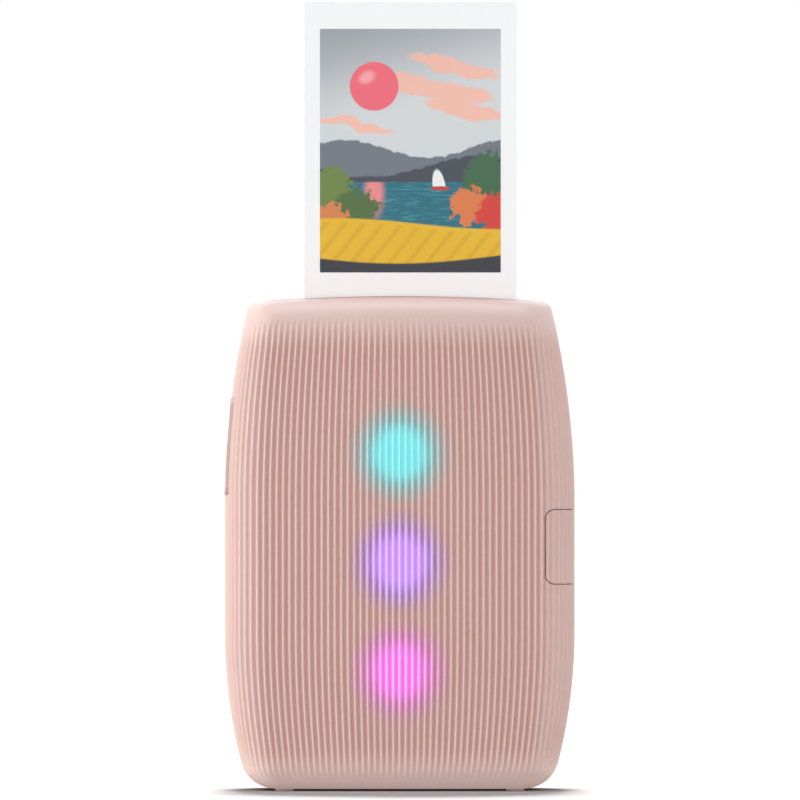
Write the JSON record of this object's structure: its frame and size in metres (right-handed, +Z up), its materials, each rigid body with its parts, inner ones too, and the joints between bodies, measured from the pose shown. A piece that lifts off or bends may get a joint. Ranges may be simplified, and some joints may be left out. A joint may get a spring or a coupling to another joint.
{
  "type": "compact photo printer",
  "caption": "Pocket instant-film photo printer with a barrel-shaped ribbed front, glowing lights behind the ribs, a film door at the back and a print feeding out of the top.",
  "frame": {"origin": "middle of the footprint on the table, under the feet", "axes": "+Z up, -Y out of the ribbed front, +X to the right seen from the front"},
  "size_m": [0.0893, 0.0346, 0.2004],
  "materials": {
    "ribbed_shell": "fine ribs, satin moulded plastic",
    "smooth_shell": "satin moulded plastic",
    "dark_plastic": "black moulded plastic",
    "pack_plastic": "black film pack",
    "film": "glossy white border with a printed picture",
    "steel": "satin",
    "board_green": "solder mask",
    "foil": "pouch foil",
    "board_white": "white solder mask",
    "light_teal": "lit lens",
    "light_violet": "lit lens",
    "light_magenta": "lit lens",
    "light_guide": "milky diffuser",
    "gear_nylon": "natural nylon",
    "brass": "turned",
    "rubber": "soft",
    "felt": "short pile",
    "smoked_window": "smoked clear plastic"
  },
  "bodies": {
    "housing": {"front_case": "ribbed_shell", "rear_case": "smooth_shell", "chassis": "dark_plastic", "film_pack": "pack_plastic", "film_stack": "film", "exposure_head": "dark_plastic", "head_lens": "light_guide", "bracket_left": "steel", "bracket_right": "steel", "motor": "steel", "main_board": "board_green", "shield_can": "steel", "board_chips": "dark_plastic", "battery": "foil", "light_board": "board_white", "light_teal": "light_teal", "light_violet": "light_violet", "light_magenta": "light_magenta", "light_guide": "light_guide", "board_spacers": "brass", "usb_socket": "steel", "reset_switch": "dark_plastic", "power_switch": "dark_plastic", "slot_seal": "felt", "feet": "rubber", "chassis_screws": "steel", "hinge_pins": "steel", "idler_stud": "steel"},
    "door": {"film_door": "smooth_shell", "door_window": "smoked_window", "pressure_springs": "steel"},
    "latch": {"door_latch": "smooth_shell"},
    "port_flap": {"port_cover": "ribbed_shell"},
    "reset": {"reset_button": "dark_plastic"},
    "power": {"power_button": "smooth_shell"},
    "print": {"film_print": "film"},
    "drive": {"drive_roller": "steel", "drive_gear": "gear_nylon"},
    "pinch": {"pinch_roller": "steel", "pinch_gear": "gear_nylon"},
    "idler": {"idler_gear": "gear_nylon"},
    "motor_shaft": {"motor_pinion": "brass"},
    "claw": {"ejection_claw": "steel"}
  },
  "joints": [
    {"name": "film_door_hinge", "type": "hinge", "parent": "housing", "child": "door", "pos_m": [-0.0376, 0.0158, 0.055], "axis": [0, 0, 1], "range_deg": [0, 90]},
    {"name": "door_latch_slide", "type": "slide", "parent": "door", "child": "latch", "axis": [-1, 0, 0], "range_m": [0, 0.002], "stiffness_N_per_m": 250, "springref_m": -0.001},
    {"name": "port_cover_hinge", "type": "hinge", "parent": "housing", "child": "port_flap", "pos_m": [0.0433, -0.00355, 0.06185], "axis": [0, 0, 1], "range_deg": [0, 90]},
    {"name": "power_button_press", "type": "slide", "parent": "housing", "child": "power", "axis": [1, 0, 0], "range_m": [0, 0.0005], "stiffness_N_per_m": 1500, "springref_m": -0.0002},
    {"name": "reset_button_press", "type": "slide", "parent": "housing", "child": "reset", "axis": [-1, 0, 0], "range_m": [0, 0.0005], "stiffness_N_per_m": 1500, "springref_m": -0.0002},
    {"name": "film_feed", "type": "slide", "parent": "housing", "child": "print", "axis": [0, 0, 1], "range_m": [-0.104, 0]},
    {"name": "drive_roller_spin", "type": "hinge", "parent": "housing", "child": "drive", "pos_m": [0.0027, -0.00165, 0.1165], "axis": [1, 0, 0], "continuous": true},
    {"name": "pinch_roller_spin", "type": "hinge", "parent": "housing", "child": "pinch", "pos_m": [0.0027, 0.00605, 0.1165], "axis": [1, 0, 0], "continuous": true},
    {"name": "idler_spin", "type": "hinge", "parent": "housing", "child": "idler", "pos_m": [-0.0321, -0.006, 0.107], "axis": [1, 0, 0], "continuous": true},
    {"name": "motor_spin", "type": "hinge", "parent": "housing", "child": "motor_shaft", "pos_m": [-0.0321, -0.009, 0.09814], "axis": [1, 0, 0], "continuous": true},
    {"name": "claw_push", "type": "slide", "parent": "housing", "child": "claw", "axis": [0, 0, 1], "range_m": [0, 0.006], "stiffness_N_per_m": 60, "springref_m": -0.002}
  ],
  "couplings": [
    {"joint": "drive_roller_spin", "follows": "film_feed", "rad_per_m": 285.71},
    {"joint": "pinch_roller_spin", "follows": "film_feed", "rad_per_m": -285.71},
    {"joint": "idler_spin", "follows": "film_feed", "rad_per_m": -166.67},
    {"joint": "motor_spin", "follows": "film_feed", "rad_per_m": 400}
  ]
}
